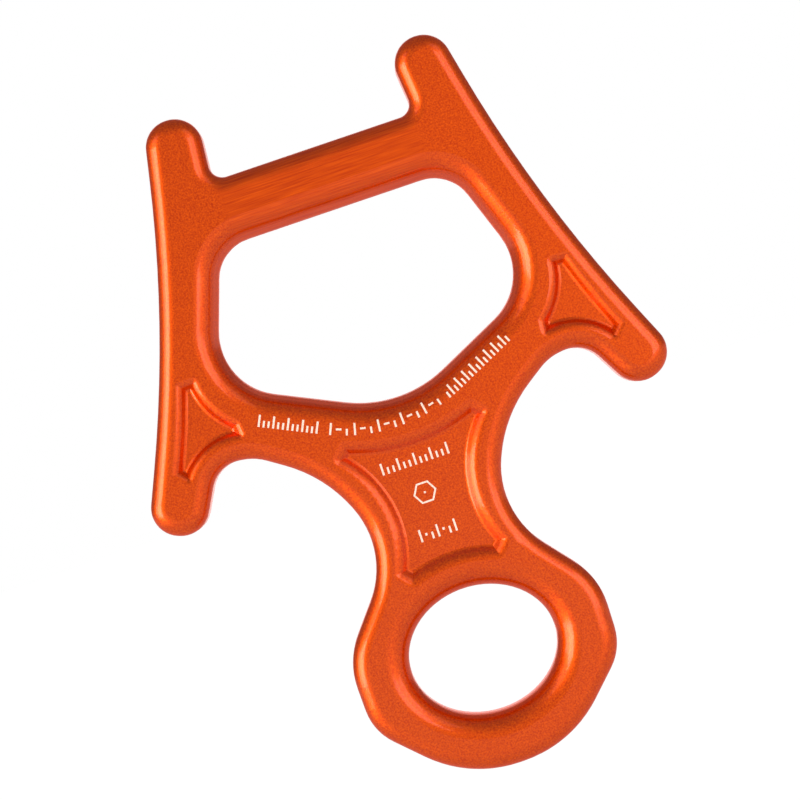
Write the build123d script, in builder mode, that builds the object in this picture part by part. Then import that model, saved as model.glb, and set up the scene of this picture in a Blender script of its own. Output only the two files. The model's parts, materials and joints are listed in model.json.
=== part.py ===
from build123d import *

import os

# Rope descender: one hot-forged aluminium plate. X runs across it, Z runs from the carabiner
# eye up to the friction bar, and Y is its thickness, with the front face at -Y. The origin is
# the centre of the carabiner eye, on the parting plane of the forging. Sizes are millimetres.
#
# The plate is the same on its left and right, and the same on its front and back. The front
# half is made first, up to the parting plane, and then mirrored.

# ---- Driving dimensions -----------------------------------------------------------------

plate_thickness = 12.0
half_thickness = plate_thickness / 2
parting_tolerance = 0.01

# Outline of the right half, from the middle of the friction bar round to the bottom of the
# ring. Each corner is a point (x, z) with the radius that rounds it.
bar_top = 105.5
horn_top = 119.9
ring_bottom = -23.6
outline_corners = [
    ((21.2, bar_top), 2.8),  # root of the top horn
    ((19.9, horn_top), 5.6),  # tip of the top horn, inner side
    ((30.8, horn_top), 5.6),  # tip of the top horn, outer side
    ((38.95, 81.3), 280.0),  # long hollow curve of the leg
    ((55.8, 43.0), 5.65),  # tip of the lower horn, outer side
    ((45.4, 38.95), 5.65),  # tip of the lower horn, inner side
    ((38.4, 51.7), 6.5),  # notch beside the lower horn
    ((30.9, 50.8), 10.4),  # notch, where it turns down into the side bay
    ((18.9, 42.7), 27.5),  # side bay, under the web
    ((11.3, 24.7), 18.2),  # side bay, round the neck
    ((26.4, 6.3), 15.4),  # shoulder of the ring
    ((26.05, -8.5), 11.1),  # side of the ring
    ((10.7, ring_bottom), 25.0),  # bottom of the ring
]
outer_edge_radius = 3.2

# Carabiner eye, an oval hole through the ring.
eye_width = 30.1
eye_height = 25.3
eye_edge_radius = 4.7

# Rope window, a rounded pentagon between the friction bar and the web. Its walls lean out from
# the parting plane to both faces, and every edge that the rope can touch is rounded.
window_bottom_corner = (0, 50.8)
window_side_corner = (33.0, 66.5)
window_top_corner = (24.05, 92.25)
window_bottom_radius = 24.0
window_side_radius = 12.3
window_top_radius = 8.2
window_wall_draft = 20.0
window_edge_radius = 4.2
window_crest_radius = 4.0

# Relief pockets. Each corner of a pocket is cut off blunt, so it has two points. Each side is
# an arc that swells into the pocket by the bulge.
neck_pocket_top_end = [(15.75, 44.8), (13.2, 47.3)]
neck_pocket_bottom_end = [(8.9, 17.1), (11.2, 19.6)]
neck_pocket_top_bulge = 2.6
neck_pocket_side_bulge = 4.2
neck_pocket_bottom_bulge = 1.6

leg_pocket_top_end = [(40.4, 68.9), (37.2, 69.1)]
leg_pocket_inner_end = [(31.8, 58.3), (31.5, 55.3)]
leg_pocket_outer_end = [(44.4, 50.2), (46.6, 52.6)]
leg_pocket_inner_bulge = 1.34
leg_pocket_lower_bulge = 2.3
leg_pocket_outer_bulge = 0.3

pocket_depth = 1.5
pocket_floor_radius = 0.8
neck_pocket_wall_slope = 48.0
neck_pocket_rim_radius = 2.6
leg_pocket_wall_slope = 42.0
leg_pocket_rim_radius = 1.7

# ---- Sketches ---------------------------------------------------------------------------


def mirrored(point):
    """The same point on the other side of the centre line."""
    return (-point[0], point[1])


def pocket_rim(ends, bulges):
    """The rim of a pocket on the front face: a blunt end at each corner and an arc after it."""
    with BuildSketch(Plane.XZ.offset(half_thickness)) as rim:
        with BuildLine():
            for end, next_end, bulge in zip(ends, ends[1:] + ends[:1], bulges):
                Line(end[0], end[1])
                SagittaArc(end[1], next_end[0], bulge)
        make_face()
    return rim.sketch


neck_pocket = pocket_rim(
    [
        neck_pocket_top_end,
        [mirrored(point) for point in reversed(neck_pocket_top_end)],
        [mirrored(point) for point in reversed(neck_pocket_bottom_end)],
        neck_pocket_bottom_end,
    ],
    [
        neck_pocket_top_bulge,
        neck_pocket_side_bulge,
        neck_pocket_bottom_bulge,
        neck_pocket_side_bulge,
    ],
)
right_leg_pocket = pocket_rim(
    [leg_pocket_top_end, leg_pocket_inner_end, leg_pocket_outer_end],
    [leg_pocket_inner_bulge, leg_pocket_lower_bulge, leg_pocket_outer_bulge],
)
left_leg_pocket = mirror(right_leg_pocket, about=Plane.YZ)

# ---- The forging ------------------------------------------------------------------------

with BuildPart() as descender_body:
    with BuildSketch(Plane.XZ):
        with BuildLine():
            FilletPolyline(
                (0, bar_top),
                *[corner for corner, _ in outline_corners],
                (0, ring_bottom),
                radius=[radius for _, radius in outline_corners],
            )
            mirror(about=Plane.YZ)
        make_face()
    extrude(amount=half_thickness)

    # Relief pockets, each with a rounded rim and a rounded foot to its walls.
    for rim, wall_slope, rim_radius in (
        (neck_pocket, neck_pocket_wall_slope, neck_pocket_rim_radius),
        (right_leg_pocket, leg_pocket_wall_slope, leg_pocket_rim_radius),
        (left_leg_pocket, leg_pocket_wall_slope, leg_pocket_rim_radius),
    ):
        extrude(rim, amount=-pocket_depth, taper=wall_slope, mode=Mode.SUBTRACT)
        levels = descender_body.edges(Select.LAST).group_by(Axis.Y)
        fillet(levels[0], rim_radius)
        fillet(levels[-1], pocket_floor_radius)

    # Carabiner eye.
    with BuildSketch(Plane.XZ):
        Ellipse(eye_width / 2, eye_height / 2)
    extrude(amount=half_thickness, mode=Mode.SUBTRACT)
    fillet(descender_body.edges(Select.LAST).group_by(Axis.Y)[0], eye_edge_radius)

    # Rope window.
    with BuildSketch(Plane.XZ):
        with BuildLine():
            FilletPolyline(
                window_bottom_corner,
                window_side_corner,
                window_top_corner,
                mirrored(window_top_corner),
                mirrored(window_side_corner),
                radius=[
                    window_bottom_radius,
                    window_side_radius,
                    window_top_radius,
                    window_top_radius,
                    window_side_radius,
                ],
                close=True,
            )
        make_face()
    extrude(amount=half_thickness, taper=-window_wall_draft, mode=Mode.SUBTRACT)
    fillet(descender_body.edges(Select.LAST).group_by(Axis.Y)[0], window_edge_radius)

    # Outer edge, all the way round.
    front_face = descender_body.faces().sort_by(Axis.Y)[0]
    fillet(front_face.outer_wire().edges(), outer_edge_radius)

    # Back half.
    mirror(about=Plane.XZ)

    # Crest of the window's walls, where the two halves meet.
    crest = (
        descender_body.edges()
        .filter_by(Plane.XZ)
        .filter_by_position(Axis.Y, -parting_tolerance, parting_tolerance)
        .filter_by_position(Axis.Z, window_bottom_corner[1], window_top_corner[1])
    )
    fillet(crest, window_crest_radius)

descender_body.part.label = "descender_body"

os.makedirs("parts", exist_ok=True)
export_step(descender_body.part, "parts/descender_body.step")
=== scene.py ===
import json
import math

import bmesh
import bpy
from mathutils import Matrix, Vector
from mathutils.bvhtree import BVHTree


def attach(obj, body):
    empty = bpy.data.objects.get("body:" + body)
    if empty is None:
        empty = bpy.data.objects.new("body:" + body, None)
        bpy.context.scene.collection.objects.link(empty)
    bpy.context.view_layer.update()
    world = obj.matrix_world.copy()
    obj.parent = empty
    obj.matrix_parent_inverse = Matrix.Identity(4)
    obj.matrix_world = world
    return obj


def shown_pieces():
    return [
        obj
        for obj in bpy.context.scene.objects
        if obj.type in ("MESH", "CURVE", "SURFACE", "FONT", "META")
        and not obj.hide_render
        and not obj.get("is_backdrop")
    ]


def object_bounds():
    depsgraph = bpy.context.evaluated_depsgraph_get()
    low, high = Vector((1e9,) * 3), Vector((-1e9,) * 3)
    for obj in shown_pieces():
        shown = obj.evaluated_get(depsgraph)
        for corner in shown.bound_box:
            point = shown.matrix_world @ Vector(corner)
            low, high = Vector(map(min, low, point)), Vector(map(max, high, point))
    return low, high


# Rope descender: material, marks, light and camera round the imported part. Metres, in the
# part's own frame: X across, Z from the carabiner eye up to the friction bar, front at -Y.

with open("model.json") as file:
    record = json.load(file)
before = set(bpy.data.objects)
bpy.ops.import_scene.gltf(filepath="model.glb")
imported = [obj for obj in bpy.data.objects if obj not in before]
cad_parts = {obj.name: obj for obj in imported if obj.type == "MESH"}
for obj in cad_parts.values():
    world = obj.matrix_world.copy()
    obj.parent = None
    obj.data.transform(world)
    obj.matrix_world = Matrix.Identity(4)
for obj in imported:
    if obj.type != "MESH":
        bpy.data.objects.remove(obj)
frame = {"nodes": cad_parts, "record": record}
cad_low, cad_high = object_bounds()
scene = bpy.context.scene
body = frame["nodes"]["descender_body"]
MM = 0.001

# ---- Places taken from the frame ------------------------------------------------------------

mounts = {mount["name"]: Vector(mount["pos_m"]) for mount in frame["record"]["mounts"]}
bar_height = mounts["friction_bar"].z
front_y = cad_low.y
surface = BVHTree.FromPolygons(
    [vertex.co for vertex in body.data.vertices],
    [polygon.vertices for polygon in body.data.polygons],
)


def front_surface(x, z):
    """The Y at which a look along +Y from the front first meets the body."""
    place, _, _, _ = surface.ray_cast(Vector((x, front_y - MM, z)), Vector((0, 1, 0)))
    return place.y


# ---- Node helpers ---------------------------------------------------------------------------


def new_material(name):
    """A new material, its node tree and its shader."""
    material = bpy.data.materials.new(name)
    material.use_nodes = True
    tree = material.node_tree
    return material, tree, tree.nodes["Principled BSDF"]


def feed(tree, socket, value):
    """Link another node's output to the socket, or set the socket to a constant."""
    if isinstance(value, bpy.types.NodeSocket):
        tree.links.new(value, socket)
    else:
        socket.default_value = value


def object_place(tree):
    """Places in the part's own frame."""
    return tree.nodes.new("ShaderNodeTexCoord").outputs["Object"]


def noise(tree, place, scale, detail=2.0, roughness=0.5):
    """Noise from 0 to 1, read at the place."""
    node = tree.nodes.new("ShaderNodeTexNoise")
    node.inputs["Scale"].default_value = scale
    node.inputs["Detail"].default_value = detail
    node.inputs["Roughness"].default_value = roughness
    tree.links.new(place, node.inputs["Vector"])
    return node.outputs["Fac"]


def stretch(tree, place, scale):
    """The same place with each axis scaled, so that noise read there comes out long on an axis."""
    node = tree.nodes.new("ShaderNodeVectorMath")
    node.operation = "MULTIPLY"
    node.inputs[1].default_value = scale
    tree.links.new(place, node.inputs[0])
    return node.outputs["Vector"]


def remap(tree, value, source, target, smooth=False):
    """The value carried over from the source range to the target range, and held inside it."""
    node = tree.nodes.new("ShaderNodeMapRange")
    node.interpolation_type = "SMOOTHSTEP" if smooth else "LINEAR"
    for name, limit in zip(("From Min", "From Max", "To Min", "To Max"), source + target):
        node.inputs[name].default_value = limit
    tree.links.new(value, node.inputs["Value"])
    return node.outputs["Result"]


def maths(tree, operation, *values):
    """One step of arithmetic, in which each value is a number or another node's output."""
    node = tree.nodes.new("ShaderNodeMath")
    node.operation = operation
    for socket, value in zip(node.inputs, values):
        feed(tree, socket, value)
    return node.outputs["Value"]


def mix_colour(tree, factor, first, second):
    """The first colour where the factor is 0, and the second where it is 1."""
    node = tree.nodes.new("ShaderNodeMix")
    node.data_type = "RGBA"
    for name, kind, value in (("Factor", "VALUE", factor), ("A", "RGBA", first), ("B", "RGBA", second)):
        socket = next(each for each in node.inputs if each.name == name and each.type == kind)
        feed(tree, socket, value)
    return next(each for each in node.outputs if each.type == "RGBA")


# ---- Anodised aluminium ---------------------------------------------------------------------

ORANGE_DEEP = (0.65, 0.042, 0.0, 1.0)
ORANGE_LIGHT = (0.91, 0.114, 0.001, 1.0)
EDGE_TINT = (1.0, 0.45, 0.35, 1.0)
COAT_WEIGHT = 0.4
COAT_ROUGHNESS = 0.15
COAT_IOR = 1.6
BLAST_PITCH = 0.35 * MM
BRUSH_PITCH = 0.30 * MM
BRUSH_LENGTH = 9.0 * MM
BRUSHED_HALF_WIDTH = 19 * MM
BRUSHED_HALF_HEIGHT = 6 * MM
BRUSHED_FADE = 3 * MM
PARTING_HALF_WIDTH = 0.22 * MM
PARTING_DULL = 0.25
# The grain over which the colour goes from deep to light, and over which the metal goes from
# its least rough to its most rough.
COLOUR_GRAIN = (0.25, 0.75)
ROUGHNESS_GRAIN = (0.3, 0.7)
METAL_ROUGHNESS = (0.41, 0.49)


def near(tree, value, centre, half_width, fade):
    """1 where the value is within half_width of the centre, falling to 0 over the fade."""
    distance = maths(tree, "ABSOLUTE", maths(tree, "SUBTRACT", value, centre))
    return remap(tree, distance, (half_width, half_width + fade), (1.0, 0.0), smooth=True)


def brushed_zone(tree, axes):
    """The faces of the friction bar, polished along X by the finishing belt."""
    along_bar = near(tree, axes["X"], 0.0, BRUSHED_HALF_WIDTH, BRUSHED_FADE)
    across_bar = near(tree, axes["Z"], bar_height, BRUSHED_HALF_HEIGHT, BRUSHED_FADE)
    return maths(tree, "MULTIPLY", along_bar, across_bar)


def metal_grain(tree, place, axes):
    """Fine blasted grain, with long streaks in its place on the friction bar."""
    blasted = noise(tree, place, 1 / BLAST_PITCH, detail=1.0)
    streaked = stretch(tree, place, (1 / BRUSH_LENGTH, 1 / BRUSH_PITCH, 1 / BRUSH_PITCH))
    brushed = noise(tree, streaked, 1.0, roughness=0.6)
    zone = brushed_zone(tree, axes)
    brushed_part = maths(tree, "MULTIPLY", brushed, zone)
    blasted_part = maths(tree, "MULTIPLY", blasted, maths(tree, "SUBTRACT", 1.0, zone))
    return maths(tree, "ADD", brushed_part, blasted_part)


def anodised_material():
    material, tree, shader = new_material("anodised_orange")
    shader.inputs["Metallic"].default_value = 1.0
    shader.inputs["Specular Tint"].default_value = EDGE_TINT
    shader.inputs["Coat Weight"].default_value = COAT_WEIGHT
    shader.inputs["Coat Roughness"].default_value = COAT_ROUGHNESS
    shader.inputs["Coat IOR"].default_value = COAT_IOR

    place = object_place(tree)
    split = tree.nodes.new("ShaderNodeSeparateXYZ")
    tree.links.new(place, split.inputs["Vector"])
    axes = split.outputs
    grain = metal_grain(tree, place, axes)
    parting = near(tree, axes["Y"], 0.0, PARTING_HALF_WIDTH, PARTING_HALF_WIDTH)
    dulled = maths(tree, "MULTIPLY", parting, PARTING_DULL)
    shade = maths(tree, "SUBTRACT", remap(tree, grain, COLOUR_GRAIN, (0.0, 1.0)), dulled)
    tree.links.new(mix_colour(tree, shade, ORANGE_DEEP, ORANGE_LIGHT), shader.inputs["Base Color"])
    tree.links.new(remap(tree, grain, ROUGHNESS_GRAIN, METAL_ROUGHNESS), shader.inputs["Roughness"])
    return material


body.data.materials.clear()
body.data.materials.append(anodised_material())

# ---- Laser marks ----------------------------------------------------------------------------
# Plain scale ticks, dashes and a hexagon, where the maker's lettering would be. Each is a thin
# slab that follows the surface under it.

MARK_PROUD = 0.018 * MM
MARK_SUNK = 0.03 * MM
MARK_STEP = 0.4 * MM
STROKE = 0.40 * MM
MARK_COLOUR = (0.95, 0.80, 0.68, 1.0)
MARK_ROUGHNESS = 0.65
FLECK_COLOUR = (0.88, 0.56, 0.38, 1.0)
FLECK_PITCH = 0.25 * MM
FLECK_GRAIN = (0.3, 0.6)


def mark_material():
    material, tree, shader = new_material("laser_mark")
    shader.inputs["Roughness"].default_value = MARK_ROUGHNESS
    fleck = remap(tree, noise(tree, object_place(tree), 1 / FLECK_PITCH), FLECK_GRAIN, (1.0, 0.0))
    tree.links.new(mix_colour(tree, fleck, MARK_COLOUR, FLECK_COLOUR), shader.inputs["Base Color"])
    return material


laser_mark = mark_material()


def add_slab(mesh, rows, closed=False):
    """A thin slab on the front of the body, through rows of two (x, z) points each."""
    rings = []
    for left, right in rows:
        corners = (left, -MARK_PROUD), (left, MARK_SUNK), (right, MARK_SUNK), (right, -MARK_PROUD)
        ring = []
        for point, offset in corners:
            y = front_surface(point.x, point.y) + offset
            ring.append(mesh.verts.new((point.x, y, point.y)))
        rings.append(ring)
    pairs = list(zip(rings, rings[1:]))
    if closed:
        pairs.append((rings[-1], rings[0]))
    else:
        mesh.faces.new(rings[0])
        mesh.faces.new(rings[-1])
    for ring, following in pairs:
        for corner in range(len(ring)):
            beside = (corner + 1) % len(ring)
            mesh.faces.new((ring[corner], ring[beside], following[beside], following[corner]))


def finish_marks(name, mesh):
    """Make the mesh a piece of its own, which moves with the body."""
    bmesh.ops.recalc_face_normals(mesh, faces=mesh.faces)
    data = bpy.data.meshes.new(name)
    mesh.to_mesh(data)
    mesh.free()
    data.materials.append(laser_mark)
    marks = bpy.data.objects.new(name, data)
    scene.collection.objects.link(marks)
    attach(marks, "root")


# A mark in a row: its width along the row, and how low and high it reaches across the row,
# as shares of the row's half height.
TALL_TICK = (STROKE, -1.0, 1.0)
SHORT_TICK = (STROKE, -1.0, 0.1)
DASH = (1.1 * MM, -0.16, 0.16)
DOT = (0.45 * MM, -0.2, 0.2)

LONG_SCALE = (TALL_TICK, SHORT_TICK, SHORT_TICK) * 4 + (TALL_TICK,)
DASHED_SCALE = (TALL_TICK, DASH, SHORT_TICK) * 5
CLOSE_SCALE = (SHORT_TICK, TALL_TICK) * 8 + (SHORT_TICK,)
DOTTED_SCALE = (TALL_TICK, DOT, SHORT_TICK) * 2 + (TALL_TICK,)


def mark_row(name, path, marks, start, pitch, half_height):
    """A row of marks, one at each pitch along the path, which gives a place and a heading."""
    mesh = bmesh.new()
    for index, (width, low, high) in enumerate(marks):
        centre, heading = path(start + index * pitch)
        along = Vector((math.cos(heading), math.sin(heading)))
        across = Vector((-along.y, along.x))
        steps = max(1, math.ceil((high - low) * half_height / MARK_STEP))
        rows = []
        for step in range(steps + 1):
            middle = centre + across * half_height * (low + (high - low) * step / steps)
            rows.append((middle - along * width / 2, middle + along * width / 2))
        add_slab(mesh, rows)
    finish_marks(name, mesh)


# The rim row runs straight, round a wide bend under the window, and straight again.
RIM_MIDDLE = Vector((-1.9, 48.7)) * MM
RIM_RADIUS = 32.7 * MM
RIM_SLOPE = math.radians(25.4)
ROW_HALF_HEIGHT = 1.2 * MM
NECK_UPPER_HEIGHT = 40.35 * MM
NECK_LOWER_HEIGHT = 25.4 * MM


def rim_path(distance):
    """The place and heading on the rim row, measured from its middle."""
    bend = max(-RIM_SLOPE, min(RIM_SLOPE, distance / RIM_RADIUS))
    straight = distance - bend * RIM_RADIUS
    x = RIM_RADIUS * math.sin(bend) + straight * math.cos(bend)
    z = RIM_RADIUS * (1 - math.cos(bend)) + straight * math.sin(bend)
    return RIM_MIDDLE + Vector((x, z)), bend


def level_path(z):
    """A level line at height z, measured from the centre line."""
    def path(distance):
        return Vector((distance, z)), 0.0
    return path


mark_row(
    "rim_marks_left", rim_path, LONG_SCALE,
    start=-27.3 * MM, pitch=0.96 * MM, half_height=ROW_HALF_HEIGHT,
)
mark_row(
    "rim_marks_middle", rim_path, DASHED_SCALE,
    start=-13.1 * MM, pitch=1.6 * MM, half_height=ROW_HALF_HEIGHT,
)
mark_row(
    "rim_marks_right", rim_path, CLOSE_SCALE,
    start=11.6 * MM, pitch=1.0 * MM, half_height=ROW_HALF_HEIGHT,
)
mark_row(
    "neck_marks_upper", level_path(NECK_UPPER_HEIGHT), LONG_SCALE,
    start=-7.6 * MM, pitch=1.13 * MM, half_height=ROW_HALF_HEIGHT,
)
mark_row(
    "neck_marks_lower", level_path(NECK_LOWER_HEIGHT), DOTTED_SCALE,
    start=-4.6 * MM, pitch=1.2 * MM, half_height=1.25 * MM,
)

HEXAGON_SIDES = 6
HEXAGON_CENTRE = Vector((-1.0, 33.4)) * MM
HEXAGON_RADIUS = 2.2 * MM


def hexagon_mark(name):
    """A plain hexagon with a square dot in the middle."""
    mesh = bmesh.new()
    rows = []
    for corner in range(HEXAGON_SIDES):
        turn = math.tau * corner / HEXAGON_SIDES
        toward = Vector((math.cos(turn), math.sin(turn)))
        inner = HEXAGON_CENTRE + toward * (HEXAGON_RADIUS - STROKE / 2)
        outer = HEXAGON_CENTRE + toward * (HEXAGON_RADIUS + STROKE / 2)
        rows.append((inner, outer))
    add_slab(mesh, rows, closed=True)
    half = Vector((STROKE / 2, 0))
    rise = Vector((0, STROKE / 2))
    lower = (HEXAGON_CENTRE - half - rise, HEXAGON_CENTRE + half - rise)
    upper = (HEXAGON_CENTRE - half + rise, HEXAGON_CENTRE + half + rise)
    add_slab(mesh, [lower, upper])
    finish_marks(name, mesh)


hexagon_mark("neck_hexagon")

# ---- Stage ----------------------------------------------------------------------------------

FLOOR_Z = -0.12
FLOOR_SIZE = 16.0
FLOOR_ROUGHNESS = 0.9
# The camera sees a paler floor than the one that throws light up at the part.
FLOOR_TO_CAMERA = (0.90, 0.90, 0.90, 1.0)
FLOOR_TO_PART = (0.66, 0.66, 0.66, 1.0)
WHITE = (1.0, 1.0, 1.0, 1.0)
ROOM_LIGHT = 0.34
BACKDROP_LIGHT = 1.0


def camera_ray(tree):
    """1 on a ray straight from the camera, and 0 on a ray that has bounced."""
    return tree.nodes.new("ShaderNodeLightPath").outputs["Is Camera Ray"]


def floor_material():
    material, tree, shader = new_material("floor_white")
    shader.inputs["Roughness"].default_value = FLOOR_ROUGHNESS
    colour = mix_colour(tree, camera_ray(tree), FLOOR_TO_PART, FLOOR_TO_CAMERA)
    tree.links.new(colour, shader.inputs["Base Color"])
    return material


def background(tree, strength):
    """White light of the given strength from all round."""
    node = tree.nodes.new("ShaderNodeBackground")
    node.inputs["Color"].default_value = WHITE
    node.inputs["Strength"].default_value = strength
    return node.outputs["Background"]


def studio_world():
    """Soft room light on the part, and plain white where the camera looks past it."""
    world = bpy.data.worlds.new("studio")
    world.use_nodes = True
    tree = world.node_tree
    tree.nodes.clear()
    mix = tree.nodes.new("ShaderNodeMixShader")
    output = tree.nodes.new("ShaderNodeOutputWorld")
    tree.links.new(camera_ray(tree), mix.inputs["Fac"])
    tree.links.new(background(tree, ROOM_LIGHT), mix.inputs[1])
    tree.links.new(background(tree, BACKDROP_LIGHT), mix.inputs[2])
    tree.links.new(mix.outputs["Shader"], output.inputs["Surface"])
    return world


bpy.ops.mesh.primitive_plane_add(size=FLOOR_SIZE, location=(0, 0, FLOOR_Z))
floor = bpy.context.object
floor.name = "floor"
floor.data.materials.append(floor_material())
floor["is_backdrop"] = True

scene.world = studio_world()
scene.view_settings.view_transform = "Standard"

# ---- Lights ---------------------------------------------------------------------------------
# The soft boxes light the part alone and the sun lights the floor alone, so that the floor stays
# an even white however strong the boxes are. The floor hides whatever of a box is below it.

BOX_AIM = Vector((0, 0, 0.052))
BOX_DISTANCE = 1.2
SUN_STRENGTH = 2.6
SUN_SPREAD = math.radians(60)


def receivers(name, objects):
    """The objects that a light falls on."""
    collection = bpy.data.collections.new(name)
    for each in objects:
        collection.objects.link(each)
    return collection


part_only = receivers("part_only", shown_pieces())
floor_only = receivers("floor_only", [floor])


def soft_box(name, azimuth, elevation, width, height, brightness):
    """A rectangular light, seen from the object at the given bearing: 0 is from -Y, 90 from +X."""
    turn = math.radians(azimuth)
    rise = math.radians(elevation)
    level = math.cos(rise)
    toward = Vector((math.sin(turn) * level, -math.cos(turn) * level, math.sin(rise)))
    data = bpy.data.lights.new(name, "AREA")
    data.shape = "RECTANGLE"
    data.size = width
    data.size_y = height
    data.energy = brightness * math.pi * width * height
    light = bpy.data.objects.new(name, data)
    light.location = BOX_AIM + toward * BOX_DISTANCE
    light.rotation_mode = "QUATERNION"
    light.rotation_quaternion = toward.to_track_quat("Z", "Y")
    light.light_linking.receiver_collection = part_only
    scene.collection.objects.link(light)


def floor_sun(name):
    """Even light from straight above."""
    data = bpy.data.lights.new(name, "SUN")
    data.energy = SUN_STRENGTH
    data.angle = SUN_SPREAD
    light = bpy.data.objects.new(name, data)
    light.light_linking.receiver_collection = floor_only
    scene.collection.objects.link(light)


soft_box("key_left", azimuth=-50, elevation=0, width=0.5, height=0.9, brightness=7.6)
soft_box("key_left_side", azimuth=-72, elevation=0, width=0.5, height=0.9, brightness=4.2)
soft_box("key_left_high", azimuth=-50, elevation=32, width=0.6, height=0.5, brightness=0.9)
soft_box("fill_right", azimuth=50, elevation=0, width=0.45, height=0.8, brightness=2.2)
soft_box("fill_right_front", azimuth=27, elevation=0, width=0.45, height=0.7, brightness=2.9)
soft_box("fill_right_high", azimuth=44, elevation=28, width=0.6, height=0.5, brightness=0.7)
soft_box("behind", azimuth=180, elevation=10, width=1.0, height=1.0, brightness=1.2)
floor_sun("floor_light")

# ---- Camera ---------------------------------------------------------------------------------

CAMERA_DISTANCE = 0.55
CAMERA_ROLL = math.radians(18.756)
FRAME_WIDTH = 0.160
SENSOR_WIDTH = 36.0
LOOK_AT = Vector((0.0002, 0, 0.0523))


def square_camera(name):
    """A camera square to the front of the part, rolled so that the part leans in the picture."""
    data = bpy.data.cameras.new(name)
    data.sensor_width = SENSOR_WIDTH
    data.lens = SENSOR_WIDTH * CAMERA_DISTANCE / FRAME_WIDTH
    camera = bpy.data.objects.new(name, data)
    right = Vector((math.cos(CAMERA_ROLL), 0, -math.sin(CAMERA_ROLL)))
    up = Vector((math.sin(CAMERA_ROLL), 0, math.cos(CAMERA_ROLL)))
    back = Vector((0, -1, 0))
    turn = Matrix((right, up, back)).transposed().to_4x4()
    camera.matrix_world = Matrix.Translation(LOOK_AT + back * CAMERA_DISTANCE) @ turn
    scene.collection.objects.link(camera)
    return camera


scene.camera = square_camera("camera")
